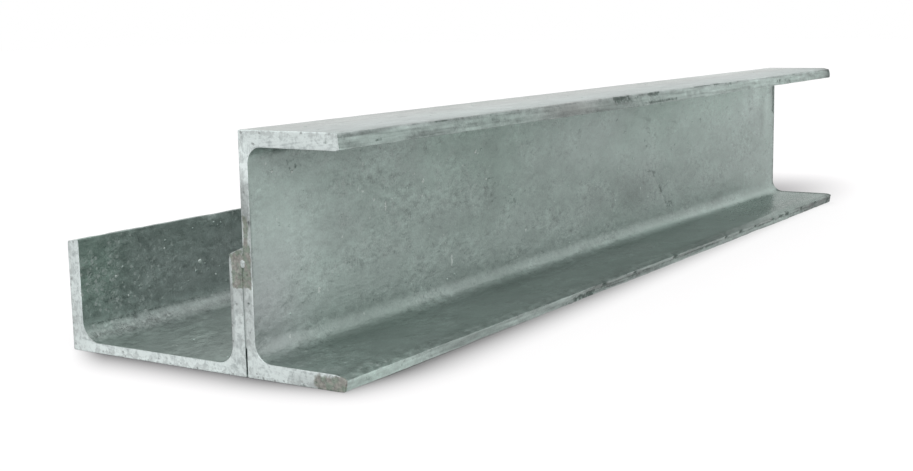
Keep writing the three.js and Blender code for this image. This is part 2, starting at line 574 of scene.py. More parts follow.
def upper_toe_marks(rng):
    """Slits, hooks, smears and patches."""
    marks = runs(
        toe_face, (-276, 95.3, -272, 95.4, 0.85, 0.5, 1.4), (-188.5, 98.9, -187.6, 96.4, 0.9, 0.3, 1.2),
        (-192, 99, -186, 99, 0.7, 0.2, 1), (-188, 96.2, -186, 96.2, 0.8, 0.2, 0.9),
        (-169, 97.4, -167.5, 97, 0.8, 0.2, 0.8), (-141, 97.6, -145, 95.8, 0.7, 0.2, 0.6),
        (-150, 95, -146, 95, 0.8, 0.2, 0.6), (-72, 94.8, -48, 94.5, 0.6, -0.1, 0, 1.1),
        (-58, 97.8, -54, 97.6, 0.5, -0.05, 0, 0.9), (25, 96.4, 26, 96.4, 1.3, -0.2),
        (35, 96.6, 36, 96.6, 1.3, -0.2), (43.5, 96.4, 44.5, 96.4, 1.2, -0.2),
        (52, 96.5, 76, 96.8, 1.7, -0.1), (-24, 94.6, 14, 94.6, 1, 0.2, 1.2),
        (-92, 93.9, -78, 94, 0.9, 0.2, 0.9), (-60, 94.6, -36, 94.5, 0.6, -0.1, 0, 0.9),
        (-20, 96.2, -2, 96, 0.5, -0.1, 0, 0.7))
    marks += lines(
        rng, toe_face, (-262, 95.2, -249, 95.8, 0.5, 0.45, 1.2, 0.05),
        (-299, 99, -250, 99.1, 0.7, 0.15, 0.8, 0.08), (-240, 99, -200, 99, 0.6, 0.12, 0.5, 0.5),
        (-298, 97, -246, 97.2, 0.45, 0.15, 0.5, 0.25), (-132, 97.2, -84, 96.8, 0.5, 0.2, 0.6, 0.3),
        (-122, 95.8, -76, 95.6, 0.5, 0.2, 0.55, 0.3), (-112, 93.9, -66, 93.9, 0.6, 0.3, 0.9, 0.2))
    marks += scabs(
        rng, toe_face, (-67, -47, 96.2, 99.7, 60, 1, 0.3, 1.35), (-44, -30, 94.4, 98.6, 10, 0.7, 0.3, 1),
        (-26, -10, 95.8, 99.4, 26, 0.9, 0.3, 1.15))
    marks += lines(rng, toe_face, (40, 99.4, 98, 99.4, 0.85, 0.25, 1.5, 0.08))
    return marks + scabs(
        rng, toe_face, (86, 97, 96.8, 99.4, 11, 0.8, 0.3, 1.1), (176, 206, 93.6, 96.6, 26, 1.2, 0.15, 0.8),
        (110, 285, 94, 99, 30, 0.6, 0.15, 0.55), (287, 297, 94.5, 99.8, 30, 1.5, 0, 1))


def web_marks(rng):
    """Scratches, scars, bright runs and dark blots on the upright channel's web."""
    marks = lines(
        rng, WEB_X, (65, 46.6, 84, 43.6, 1.1, 0.1, 0.6, 0.2), (80.5, 43.2, 103, 21, 1.8, 0.12, 0.6, 0))
    marks += scabs(
        rng, WEB_X, (98, 112, 18.5, 23, 9, 1.2, 0.05, 0.6), (66, 72, 60, 66, 3, 1, 0.06, 0.7),
        (105, 114, 58, 64, 3, 0.9, 0.05, 0.6), (-118, -78, 22, 58, 40, 0.8, 0.06, 0.55),
        (-100, -92, 44, 50, 7, 0.9, 0.06, 0.65), (-190, -120, 8, 30, 24, 0.8, 0.05, 0.5),
        (-280, -190, 12, 40, 40, 0.7, 0.05, 0.5))
    marks += flecks(rng, WEB_X, (-290, -185, 20, 90, 40), (-185, -60, 15, 90, 34), (-60, 280, 15, 92, 26))
    marks += lines(
        rng, WEB_X, (-97, 40.5, -84, 28, 0.8, 0.1, 0.55, 0.1), (-121, 61.2, -113, 61.4, 0.6, 0.08, 0.5, 0.1))
    marks += scabs(
        rng, WEB_X, (-277, -268, 82, 85, 8, 0.7, 0.06, 0.5), (-286, -258, 82, 91, 26, 1, 0.05, 0.42),
        (-240, -205, 84, 91, 14, 0.7, 0.05, 0.45), (-150, -100, 24, 54, 18, 0.8, 0.05, 0.45),
        (-200, -150, 36, 64, 16, 0.7, 0.05, 0.45))
    # Bright runs, painted as glint: y and z of both ends, radius and glint
    marks += [run for *line, shine in (
        (-153.3, 30.5, -153.9, 22, 0.7, 0.75), (-146, 29.8, -148.5, 27.5, 0.6, 0.7),
        (-163, 64.5, -162.6, 61.5, 0.6, 0.8), (-208.1, 59.8, -208.1, 56.5, 0.7, 1),
        (-216.3, 63.4, -216.6, 61.2, 0.7, 1), (-202.7, 62.2, -203.2, 60, 0.6, 0.8),
        (-178.6, 67.6, -178.6, 65, 0.6, 0.9), (-176.5, 67.8, -176.6, 65.2, 0.5, 0.8),
        (-257.1, 31, -258, 27.6, 0.6, 0.9), (-227, 13, -226, 10, 0.7, 0.8),
        (-277.8, 13.6, -277.8, 11.4, 0.7, 0.8), (-131, 77, -128, 75, 0.6, 0.8))
        for run in runs(WEB_X, (*line, -FLECK_RISE, 0, shine))]
    # Dark blots: y, z, radius and stain
    return marks + [spot(WEB_X, y, z, radius, BLOT_DENT, stain) for y, z, radius, stain in (
        (-269.8, 83.1, 1.7, 0.62), (-263.1, 86.6, 1.2, 0.58), (-277.3, 85.9, 1.5, 0.5),
        (-201.8, 80.7, 1.2, 0.52), (-215.3, 81.9, 1.1, 0.52), (-188.7, 76.9, 1, 0.52),
        (-172.7, 55.6, 1, 0.5), (-295.4, 32.3, 1, 0.6))]


def upright_marks(rng):
    marks = lower_toe_marks(rng) + upper_toe_marks(rng) + web_marks(rng)
    # Top face: flecks along its far edge and a pale scuff
    marks += scabs(rng, 38, (-243, -234, TOP_Z, TOP_Z, 4, 1, 0.1, 0.7))
    marks += scabs(rng, 48, (-226, -216, TOP_Z, TOP_Z, 4, 1, 0.1, 0.7))
    marks.append(spot(70, -236, TOP_Z, 3, -0.05, 0, 0.6))
    # Far end: dark ragged rims
    marks += lines(
        rng, WEB_X, (298.6, 10, 298.6, 93, 2.2, 0, 0.6, 0.25), (296.5, 68, 296.5, 93, 3, 0, 0.8, 0.15))
    marks += scabs(rng, WEB_X, (289, 299, 60, 92, 16, 0.9, 0, 0.5))
    marks += broken_line(rng, (34, 298, 6.7), (75, 298, 6.5), 2.4, 0, 1.1, 0.05)
    return marks + broken_line(rng, (30, 298, TOP_Z), (73, 297, TOP_Z), 2.0, 0, 0.7, 0.2)


def lying_marks(rng):
    """On the outer flange a broken lap under the toe, a ragged root edge and scars, and a bright
    fleck on the web."""
    marks = lines(
        rng, SIDE_X, (-290, 43.9, -268, 44.4, 0.55, 0.15, 0.5, 0.12),
        (-262, 44.8, -196, 44.4, 0.5, 0.1, 0.42, 0.3), (-250, 40.2, -180, 39.8, 0.5, 0.1, 0.4, 0.5))
    marks += lines(
        rng, SIDE_X + ROOT_INSET, (-292, 10.8, -238, 10.5, 0.9, 0.15, 0.6, 0.05),
        (-236, 10.8, -120, 11, 0.8, 0.12, 0.52, 0.1))
    marks += scabs(rng, SIDE_X, (-285, -180, 14, 42, 50, 0.7, 0.06, 0.42))
    marks += flecks(rng, SIDE_X, (-294, -262, 18, 38, 34), (-262, -215, 22, 42, 22))
    marks += runs(
        SIDE_X, (-236, 25.8, -224, 23.2, 0.8, -0.1, 0, 0.5), (-214, 39, -211, 33, 0.7, -0.1, 0, 0.5),
        (-262, 33.5, -266, 26, 0.6, -0.1, 0, 0.5), (-259, 33, -263, 25, 0.7, 0.1, 0.5),
        (-268, 43.2, -258, 43.2, 1.6, 0, 0, 0, 0.4))
    return marks + [Mark((-27.6, -287, TROUGH_Z), (-26.4, -286, TROUGH_Z), 0.9, -0.1, 0, 0.9)]


def face_patches(x, depth, **layers):
    """Patches on an upright face. Each row is y, z, half length, half height and amount."""
    return [Patch(layer, (x, y, z), (depth, length, height), amount)
            for layer, rows in layers.items() for y, z, length, height, amount in rows]


def level_patches(z, depth, **layers):
    """Patches on a level face. Each row is x, y, half width, half length and amount."""
    return [Patch(layer, (x, y, z), (width, length, depth), amount)
            for layer, rows in layers.items() for x, y, width, length, amount in rows]


UPRIGHT_PATCHES = (
    # Web: paler at both ends, darker in mid length, and painted shade under the flange
    face_patches(WEB_X, 6, tone=[
        (-285, 55, 40, 50, 0.38), (-262, 92, 40, 8, -0.14), (-130, 66, 70, 45, -0.08),
        (215, 86, 90, 26, 0.42), (290, 60, 14, 60, 0.1), (262, 84, 10, 13, 0.34), (284, 74, 5, 16, 0.26),
        (238, 78, 5, 11, 0.22), (273, 66, 4, 12, -0.14), (222, 88, 6, 6, 0.16), (55, 35, 95, 13, -0.22),
        (50, 70, 80, 14, 0.08)],
        crust=[(255, 80, 40, 18, 0.5), (-230, 70, 80, 40, 0.45)],
        hue=[(-292, 26, 26, 24, 0.6), (-125, 80, 60, 30, -0.4), (120, 85, 90, 30, -0.3)])
    # Painted shade: a dark band just under the upper flange near the near end
    + face_patches(WEB_X, 5, tone=[(-279, 90, 13, 3.5, -0.3), (-262, 88.5, 14, 2.5, -0.14)])
    + face_patches(WEB_X, 4, tone=[(297, 84, 5.5, 14, -0.32)])
    # Lower root fillet and lower flange. A painted highlight widens the fillet's bright band downwards; the
    # ledge is painted lighter all over, as painted light where the upper flange shades it
    + face_patches(WEB_X + 2, 5, tone=[(0, 12, LONG, 7, -0.03)])
    + face_patches(WEB_X + 2.6, 4, tone=[(0, 8.6, LONG, 2, 0.27), (130, 8.3, 110, 2, 0.3)])
    + level_patches(LEDGE_Z, 2, gloss=[(55, 260, 30, 130, 1)], crust=[(55, -288, 30, 26, 0.6)], tone=[
        (52, -60, 30, 130, -0.13), (44, -288, 12, 16, -0.15), (40, 205, 10, 45, 0.34),
        (40, -90, 6, 60, -0.12), (73, 90, 4, 80, -0.4), (55, 270, 12, 25, -0.18),
        (55, 298, 25, 4.5, -0.45), (64, 226, 8, 44, -0.38), (55, -292, 30, 24, 0.04),
        (58, 0, 24, LONG, 0.16)])
    # Top: painted light, lighter all over as the face turned up to the light, with a warm strip, a greyer
    # strip and streaks
    + level_patches(TOP_Z, 1.5, warm=[(34, 0, 18, LONG, 0.55)], hue=[(60, 0, 30, LONG, 0.5)],
                    toe=[(50, 0, 60, LONG, 0.35)],
                    tone=[(50, 0, 60, LONG, 0.36), (57, -205, 13, 110, 0.15), (75, -150, 3.5, 200, -0.18),
                          (66, 288, 14, 20, -0.3)])
    # Toes: painted shadow lines along the upper toe's top and lower edges; other patches make the toes paler
    # or darker in places
    + face_patches(TOE_X, 3, warm=[(-112, 97, 30, 5, 0.5)], tone=[
        (-90, 96.5, 70, 5, -0.2), (-280, 96.5, 60, 5, 0.12), (160, 96.5, 130, 5, 0.28),
        (0, 99.4, LONG, 1.3, -0.16), (-60, 94.2, 130, 1.2, -0.22), (25.5, 96.4, 1.8, 1.2, 0.45),
        (35.5, 96.6, 1.8, 1.2, 0.45), (44, 96.4, 1.6, 1.1, 0.4), (66, 96.6, 15, 1.8, 0.3),
        (-278, 3, 40, 5, 0.6), (-205, 3, 28, 5, -0.14), (-70, 3, 45, 5, -0.22), (30, 3, 140, 5, -0.3),
        (285, 3, 60, 5, -0.55)],
        toe=[(-90, 97, 120, 5, -0.6), (-250, 3, 90, 5, -0.35)])
    + face_patches(TOE_X, 8, tone=[(290, 97, 13, 8, -0.55)])
    + face_patches(TOE_X, 5, tone=[(298, 3, 14, 6, -0.3)]))

LYING_PATCHES = (
    # Outer flange and its root fillet. The flange's face in the trough is painted lighter all over, as
    # painted light on a face in shade
    face_patches(SIDE_X, 5, hue=[(-292, 36, 18, 18, -0.9)],
                 crust=[(0, 26, LONG, 22, 0.42), (-285, 28, 38, 16, 0.6)],
                 tone=[(0, 28, LONG, 24, 0.42), (-282, 30, 22, 16, -0.12), (-190, 34, 50, 20, -0.1)])
    + face_patches(SIDE_X, 8, hue=[(-200, 24, 90, 30, 0.6)])
    # Painted highlight and painted shade: lighter and darker bands along the root fillet that shape its
    # bright band
    + face_patches(SIDE_X, 2, tone=[(0, 12.7, LONG, 1.2, 0.38)])
    + face_patches(SIDE_X + 1, 2, tone=[(0, 10.2, LONG, 0.9, -0.25)])
    + face_patches(SIDE_X + 2.6, 4, tone=[(0, 6, LONG, 1.6, -0.22), (-288, 6.6, 16, 1.6, -0.25)])
    + face_patches(SIDE_X + 3, 5, tone=[(0, 8, LONG, 5, 0.05)])
    + face_patches(SIDE_X + 3, 6, crust=[(0, 7, LONG, 5, 0.5)])
    # Web
    + level_patches(TROUGH_Z, 2, tone=[(-35, -278, 14, 18, 0.14), (-62, -275, 8, 25, -0.12)])
    + level_patches(TROUGH_Z, 3, warm=[(-25, -200, 60, 160, 0.15)]))


# ---- Relief of the coating ----


# Each layer is a size in millimetres, a height in millimetres and a seed.
FACE_LAYERS = [(70, 0.10, 1), (14, 0.05, 2), (5, 0.025, 3)]
TOE_LAYERS = [(26, 0.20, 4), (7, 0.12, 5), (2.5, 0.05, 6)]

# How far the outside faces and toes are set in, in millimetres, and the edges' share of toe relief
OUTSIDE_DROP = 0.1225
TOE_DROP = 0.25
EDGE_RELIEF = 0.3

# The upper toe's sagging lip and the lower toe's worn one
LIP_DROP = 0.75 * MM
LIP_SIZE = (3.0 * MM, 1.6 * MM)
LIP_CENTRE_Y = -0.03
LIP_SPAN = 0.16
LOWER_TOE_DROP = 1.4 * MM
LOWER_TOE_SIZE = (3.2 * MM, 2.4 * MM)
LOWER_TOE_EASE = (0.18, 0.1)

# The upper flange's worn far corner
FAR_CORNER = 8 * MM
FAR_CORNER_WEAR = 3.0 * MM
FAR_CORNER_NOSE = 2.2 * MM
FAR_CORNER_DROP = 2.0 * MM
FAR_CORNER_LIFT = 1.0 * MM

# Beside the ends: a bead of zinc on the inside, strips in which the paint changes, and a faint line of
# painted shade a little way inside each end
END_BEAD = 0.15 * MM
END_BEAD_LENGTH = 1.6 * MM
END_STRIP = 0.25 * MM
NEAR_END_STRIP = 1.2 * MM
RIM_CRUST_WIDTH = 0.6 * MM
RIM_DIM_WIDTH = 0.25 * MM
RIM_SHADE = 0.12
RIM_SHADE_AT = 1.3 * MM
RIM_SHADE_WIDTH = 0.6 * MM

# The most that the relief may sink into a rolled edge, and anywhere else
EDGE_LIMIT = 0.5 * MM
FACE_LIMIT = 2.5 * MM


def bumps(points, size, seed):
    """Smooth noise from about -1 to 1, with bumps of the given size in millimetres."""
    shift = np.array((31.7, 17.3, 53.9)) * seed
    scaled = points / (size * MM) + shift
    return np.array([noise.noise(Vector(p)) for p in scaled])


def layered(points, layers):
    """Relief in metres, from layers of bumps."""
    return sum(height * MM * bumps(points, size, seed) for size, height, seed in layers)


def random_marks(rng, corner_lines, count):
    """Small pits and flecks along the toes' edges. Each line is an x and a z in millimetres."""
    marks = []
    for x, z in corner_lines:
        for _ in range(count):
            y = rng.uniform(NEAR_END, FAR_END) / MM
            length = rng.choice((0.5, 1.5, 4, 9))
            dent = rng.uniform(0.1, 0.35)
            marks.append(Mark((x, y, z), (x, y + length, z), rng.uniform(0.5, 1.1), dent,
                              rng.uniform(0.3, 0.8)))
    return marks


def toe_sag(u, v, y):
    """The coating hangs below the upper toe's inner corner, most of all in mid length, and the lower
    toe's inner corner is worn down."""
    line = np.stack((0 * y, y, 0 * y), axis=-1)
    wander = 0.8 + 0.5 * bumps(line, 18, 9)
    upper_gap = np.hypot((u - WIDTH) / LIP_SIZE[0], (v - (DEPTH - FLANGE)) / LIP_SIZE[1])
    lower_gap = np.hypot((u - WIDTH) / LOWER_TOE_SIZE[0], (v - FLANGE) / LOWER_TOE_SIZE[1])
    along = 0.35 + 0.65 * np.exp(-((y - LIP_CENTRE_Y) / LIP_SPAN) ** 2)
    worn = LOWER_TOE_DROP * (1 - 0.75 * unit((y - LOWER_TOE_EASE[0]) / LOWER_TOE_EASE[1]))
    return LIP_DROP * along * wander * np.exp(-upper_gap ** 2) + worn * np.exp(-lower_gap ** 2)


def far_corner_wear(points):
    """How far the upper flange's far corner is worn to a blunt nose: across, along and down."""
    outer = unit((points[:, 0] - UPRIGHT_HIGH.x) / FAR_CORNER + 1)
    back = unit((points[:, 1] - FAR_END) / (1.6 * FAR_CORNER) + 1)
    upper = points[:, 2] > (UPRIGHT_LOW.z + UPRIGHT_HIGH.z) / 2
    high = unit((points[:, 2] - UPRIGHT_HIGH.z) / FLANGE + 1)
    across = (FAR_CORNER_WEAR + FAR_CORNER_NOSE * (2 * high - 1) ** 2) * outer * back ** 2 * upper
    down = (FAR_CORNER_DROP * high - FAR_CORNER_LIFT * (1 - high)) * (outer * back) ** 2 * upper
    return np.stack((across, across * 0.8 * outer, down), axis=-1)


# ---- Channel mesh ----

def rounded_stations():
    """Places along the post, and how far the outline shrinks there as the end's edge rounds off."""
    ends = END_ROUNDING * np.array((0, 0.15, 0.45, 1.0))
    shrink = END_ROUNDING - np.sqrt(END_ROUNDING ** 2 - (END_ROUNDING - ends) ** 2)
    start, stop = NEAR_END + END_SETBACK, FAR_END - END_SETBACK
    inner = stop - start - 2 * END_ROUNDING
    count = round(inner / LENGTH_STEP)
    middle = start + END_ROUNDING + inner * np.arange(1, count) / count
    stations = np.concatenate((start + ends, middle, stop - ends[::-1]))
    shrinks = np.concatenate((shrink, np.zeros(count - 1), shrink[::-1]))
    return stations, shrinks


def inside(points, ring):
    """Which points lie inside the ring, by counting crossings."""
    count = np.zeros(len(points), int)
    for (u1, v1), (u2, v2) in zip(ring, np.roll(ring, -1, axis=0)):
        crosses = (v1 > points[:, 1]) != (v2 > points[:, 1])
        if crosses.any():
            at = u1 + (points[:, 1] - v1) / (v2 - v1 + 1e-15) * (u2 - u1)
            count += crosses & (points[:, 0] < at)
    return count % 2 == 1


def cap_grid(ring):
    """Triangles that fill a closed ring of (u, v) points. Gives a fine grid of points inside it, how
    far each lies from the ring, and the triangles."""
    low, high = ring.min(0), ring.max(0)
    rng = np.random.default_rng(CAP_SEED)
    columns = np.arange(low[0] + CAP_STEP / 2, high[0], CAP_STEP)
    rows = np.arange(low[1] + CAP_STEP / 2, high[1], CAP_STEP)
    grid = np.array([(u, v) for u in columns for v in rows])
    grid += rng.uniform(-CAP_JITTER, CAP_JITTER, grid.shape) * CAP_STEP
    grid = grid[inside(grid, ring)]
    near_ring = np.array([np.min(np.hypot(*(ring - p).T)) for p in grid])
    kept = near_ring > CAP_CLEAR * CAP_STEP
    keep = grid[kept]
    points = [Vector(p) for p in np.concatenate((ring, keep))]
    count = len(ring)
    loop = [(i, (i + 1) % count) for i in range(count)]
    made = geometry.delaunay_2d_cdt(points, loop, [], 0, 1e-7, True)
    origin = np.array([found[0] for found in made[3]])
    faces = origin[np.array(made[2])]
    centres = np.array([tuple(p) for p in points])[faces].mean(1)
    return keep, near_ring[kept], faces[inside(centres, ring)]


def ring_faces(rings, width, first=0):
    """Four-sided faces between neighbouring rings of points, with width points in each ring."""
    start = first + np.arange(rings - 1)[:, None] * width
    index = start + np.arange(width)
    beside = start + (np.arange(width) + 1) % width
    return np.stack((index, beside, beside + width, index + width), axis=-1).reshape(-1, 4)


def painted_mesh(name, points, faces, layers):
    """A smooth mesh in the zinc finish, with its painted layers, on the part's one body."""
    mesh = bpy.data.meshes.new(name)
    mesh.from_pydata(points.tolist(), [], faces)
    mesh.update()
    mesh.materials.append(ZINC)
    mesh.polygons.foreach_set("use_smooth", np.ones(len(mesh.polygons), bool))
    for layer, values in layers.items():
        attribute = mesh.attributes.new(layer, "FLOAT", "POINT")
        attribute.data.foreach_set("value", values.astype(np.float32))
    piece = bpy.data.objects.new(name, mesh)
    bpy.context.scene.collection.objects.link(piece)
    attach(piece, "root")
    return piece


# How a channel's section lies in the frame: where (u, v, y) goes, its node and its box. The root
# fills are how far the coating fills the fillet at v = 0 and the one at the far side of the section.
Stance = namedtuple("Stance", "node place low high near_root_fill far_root_fill")


def upright_place(u, v, y):
    return np.stack((UPRIGHT_LOW.x + u, y, UPRIGHT_LOW.z + v), axis=-1)


def lying_place(u, v, y):
    return np.stack((LYING_HIGH.x - v, y, LYING_LOW.z + u), axis=-1)


UPRIGHT = Stance("upright_channel", upright_place, UPRIGHT_LOW, UPRIGHT_HIGH, 0.1 * MM, -0.5 * MM)
LYING = Stance("lying_channel", lying_place, LYING_LOW, LYING_HIGH, 0.0, 0.7 * MM)


def section_depth(u, v):
    """How deep a point of the section lies below the nearest of its three outside faces."""
    return np.minimum(u, np.minimum(v, DEPTH - v))


def channel_shell(stance, marks, patches, stations, shrinks):
    """The coated skin along the post, ring by ring: u, v and y of its points, and what is painted."""
    rings = len(stations)
    u, v = np.tile(OUTLINE.points, (rings, 1)).T
    n_u, n_v = np.tile(OUTLINE.normals, (rings, 1)).T
    toe, edge, root, outside = [np.tile(column, rings) for column in OUTLINE[2:]]
    y = np.repeat(stations, len(OUTLINE.points))
    to_end = FAR_END - END_SETBACK - np.abs(y)

    points = stance.place(u, v, y)
    layers = blank_layers(len(points), toe=toe, edge=edge)
    height = layered(points, FACE_LAYERS) + (toe + EDGE_RELIEF * edge) * layered(points, TOE_LAYERS)
    height -= paint(points, marks, patches, layers)
    height -= outside * (OUTSIDE_DROP + toe * TOE_DROP) * MM
    height += root * np.where(v > DEPTH / 2, stance.far_root_fill, stance.near_root_fill)
    height += END_BEAD * (1 - outside) * np.exp(-(to_end / END_BEAD_LENGTH) ** 2)
    height -= np.repeat(shrinks, len(OUTLINE.points))
    height = np.maximum(height, -np.where(edge > 0, EDGE_LIMIT, FACE_LIMIT))
    u, v = u + n_u * height, v + n_v * height
    if stance is UPRIGHT:
        v = v - toe_sag(u, v, y)

    layers["end"] = unit(1.1 - to_end / (END_STRIP * np.where(outside > 0, 1, 0.5)))
    layers["crust"] += 0.3 * outside * unit(1.4 - to_end / RIM_CRUST_WIDTH)
    layers["tone"] -= np.where(outside > 0, 0.20, 0.10) * unit(1.3 - to_end / RIM_DIM_WIDTH)
    layers["across"] = section_depth(u, v) / MM
    # Painted shade: a faint dark line on the inner faces, a little way in from each end
    behind_rim = np.exp(-((to_end - RIM_SHADE_AT) / RIM_SHADE_WIDTH) ** 2) * (1 - outside)
    layers["stain"] = np.maximum(layers["stain"], RIM_SHADE * behind_rim)
    return u, v, y, layers


def end_cap(stance, outline, y, outward):
    """The sawn face inside an outline of (u, v) points. Gives its own points, what is painted on
    them, and triangles that count the outline's points first."""
    inner, from_ring, triangles = cap_grid(outline)
    cap = stance.place(*inner.T, np.full(len(inner), y))
    rough = (layered(cap, END_LAYERS) + saw_marks(cap)) * unit(from_ring / CAP_EASE)
    cap[:, 1] += outward * np.clip(rough, -END_SETBACK, END_SETBACK)
    depth = section_depth(*inner.T)
    rim = unit(1.4 - depth / BURR_WIDTH)
    return cap, blank_layers(len(cap), end=1, crust=rim, across=depth / MM), triangles


def make_channel(stance, marks, patches, end_paint):
    """The coated channel: a shell along the post, with a gridded cap on each end."""
    stations, shrinks = rounded_stations()
    u, v, y, layers = channel_shell(stance, marks, patches, stations, shrinks)
    points = stance.place(u, v, y)
    width = len(OUTLINE.points)
    faces = ring_faces(len(stations), width)[:, [0, 3, 2, 1]].tolist()
    for first, outward in ((0, -1), (len(y) - width, 1)):
        ring = slice(first, first + width)
        outline = np.stack((u[ring], v[ring]), axis=-1)
        cap, painted, triangles = end_cap(stance, outline, y[first], outward)
        index = np.where(triangles < width, triangles + first, triangles - width + len(points))
        faces += index[:, ::-outward].tolist()
        points = np.concatenate((points, cap))
        layers = {name: np.concatenate((values, painted[name])) for name, values in layers.items()}

    if stance is UPRIGHT:
        points -= far_corner_wear(points)
    on_near_end = unit(1.2 - (points[:, 1] - NEAR_END) / NEAR_END_STRIP)
    for name, values in end_paint(points).items():
        join = np.add if name == "tone" else np.maximum
        layers[name] = join(layers[name], values * on_near_end)
    points = np.clip(points, stance.low, stance.high)
    piece = painted_mesh(stance.node + "_zinc", points, faces, layers)
    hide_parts(stance.node)


# ---- End faces ----

END_LAYERS = [(9, 0.07, 11), (3, 0.06, 12), (1.4, 0.035, 13)]
SAW_PITCH = 1.7 * MM
SAW_DEPTH = 0.02 * MM
BURR_WIDTH = 2.3 * MM


def saw_marks(points):
    """Fine level grooves on a sawn end."""
    wander = bumps(points * (0.2, 1, 0.2), 10, 14) * 2
    return SAW_DEPTH * np.sin(points[:, 2] / SAW_PITCH * 2 * math.pi + wander)


def box_weight(points, x_low, x_high, z_low, z_high, soft):
    """1 inside a box on the end face, falling to 0 over the soft distance at its border."""
    weight = np.ones(len(points))
    for axis, low, high in ((0, x_low, x_high), (2, z_low, z_high)):
        at = points[:, axis] / MM
        weight *= unit((at - low) / soft + 0.5) * unit((high - at) / soft + 0.5)
    return weight


def boxes(points, join, *rows):
    """Boxes on the end face, joined by a numpy function. Each row is the box's amount, its lowest
    and highest x and z, and how soft its border is."""
    return join([amount * box_weight(points, *box) for amount, *box in rows], axis=0)


def end_spots(points, places):
    """Dark spots on the near end. Each place is x, z and a radius in millimetres."""
    weights = [mark_weight(points, spot(x, NEAR_END / MM, z, radius)) for x, z, radius in places]
    return np.max(weights, axis=0)


def upright_end_paint(points):
    rust = boxes(points, np.max, (0.9, 25.9, 28.7, 50, 66, 1.0), (1.1, 24.6, 29.3, 36.2, 54, 1.2),
                 (1.0, 59.5, 80, -5, 6.2, 3.0))
    places = ((27.3, 30.6, 1.1), (28.2, 27.2, 1.1), (26.6, 62, 0.8), (60, 2.6, 0.9), (54, 1.2, 0.8))
    soft_places = ((27.2, 96.8, 1.7), (30.8, 97.2, 1.5), (32.6, 94.6, 1.3), (34.4, 98, 1.0), (38, 96.4, 1.2),
                   (45.5, 97.5, 1.2), (59.5, 95.4, 1.4), (65.8, 96.6, 1.5), (68.4, 96.2, 1.8))
    stain = np.max((0.8 * end_spots(points, places), 0.45 * end_spots(points, soft_places),
                    0.45 * box_weight(points, 50, 72, -1, 0.9, 1)), axis=0)
    tone = boxes(points, np.sum, (-0.22, 24, 31, 11, 37, 4), (-0.48, 24, 31, 62, 70, 3),
                 (-0.36, 24, 31, 70, 79, 3), (-0.50, 28.6, 31, 40, 64, 1), (-0.20, 48, 62, -1, 5, 4),
                 (0.18, 24, 31, 81, 94, 4))
    return {"rust": rust, "stain": stain, "tone": tone}


def lying_end_paint(points):
    places = [(-74.8, z, 0.9) for z in (38.5, 29.2, 20.9, 12, 1.3)]
    places += [(x, 0.6, 0.8) for x in (-52, -44, -30, -17, -2, 9)]
    tone = boxes(points, np.sum, (-0.26, 17, 25, 26, 38, 5), (-0.07, 17, 25, 10, 26, 4),
                 (-0.30, 16, 19.4, 12, 52, 1), (-0.10, -77, -68, 6, 22, 4), (-0.03, -77, -68, 31, 52, 4),
                 (0.08, -66, 14, -1, 5, 4))
    return {"rust": 1.05 * box_weight(points, 19.3, 26, 36.4, 52, 1.2),
            "crust": box_weight(points, -77, -71.8, -2, 30, 2.5),
            "stain": 0.8 * end_spots(points, places), "tone": tone}


# ---- Welds and the zinc in the seam ----

SHARP_ANGLE = math.radians(45)
WELD_STEP = 0.45 * MM
WELD_POINTS = 16
RIPPLE_PITCH = 2.25 * MM
RIPPLE_BOW = 1.5 * MM
RIPPLE_DEPTH = 0.22 * MM
WELD_LAYERS = [(6, 0.16, 21), (2.2, 0.07, 22)]
CRATER = 7 * MM
CRATER_FLOOR = 0.3 * MM
CRATER_LEVEL = 0.25
WELD_TOE_SINK = 0.05 * MM
WELD_BACK_SINK = 0.3 * MM
WELD_ROOT_SINK = 0.6 * MM
WELD_FOOT_INSET = 0.7 * MM
WELD_ROOT_DEPTH, WELD_FOOT_DEPTH = 2.4 * MM, 1.9 * MM
WELD_END_SETBACK = 0.7 * END_SETBACK
WELD_CROWN = 0.12 * MM
WELD_END_STRIP = 0.35 * MM
WELD_TONE, WELD_END_TONE = 0.1, -0.3
WELD_CRUST = 0.5
WELD_END_RUST = (0.45, 0.95)


def lofted(name, rings, layers, flip=False):
    """A closed mesh through rings of points, each with the same count, with a fan on each end. flip
    turns its faces over, for rings that run the other way round."""
    count, width = rings.shape[:2]
    faces = ring_faces(count, width).tolist()
    points = np.concatenate((rings.reshape(-1, 3), rings[:1].mean(1), rings[-1:].mean(1)))
    near, far = count * width, count * width + 1
    last = (count - 1) * width
    for i in range(width):
        after = (i + 1) % width
        faces += [(near, after, i), (far, last + i, last + after)]
    if flip:
        faces = [face[::-1] for face in faces]
    layers = {key: np.append(values, (values[:width].max(), values[last:].max()))
              for key, values in layers.items()}
    piece = painted_mesh(name, points, faces, layers)
    piece.data.set_sharp_from_angle(angle=SHARP_ANGLE)
    return piece


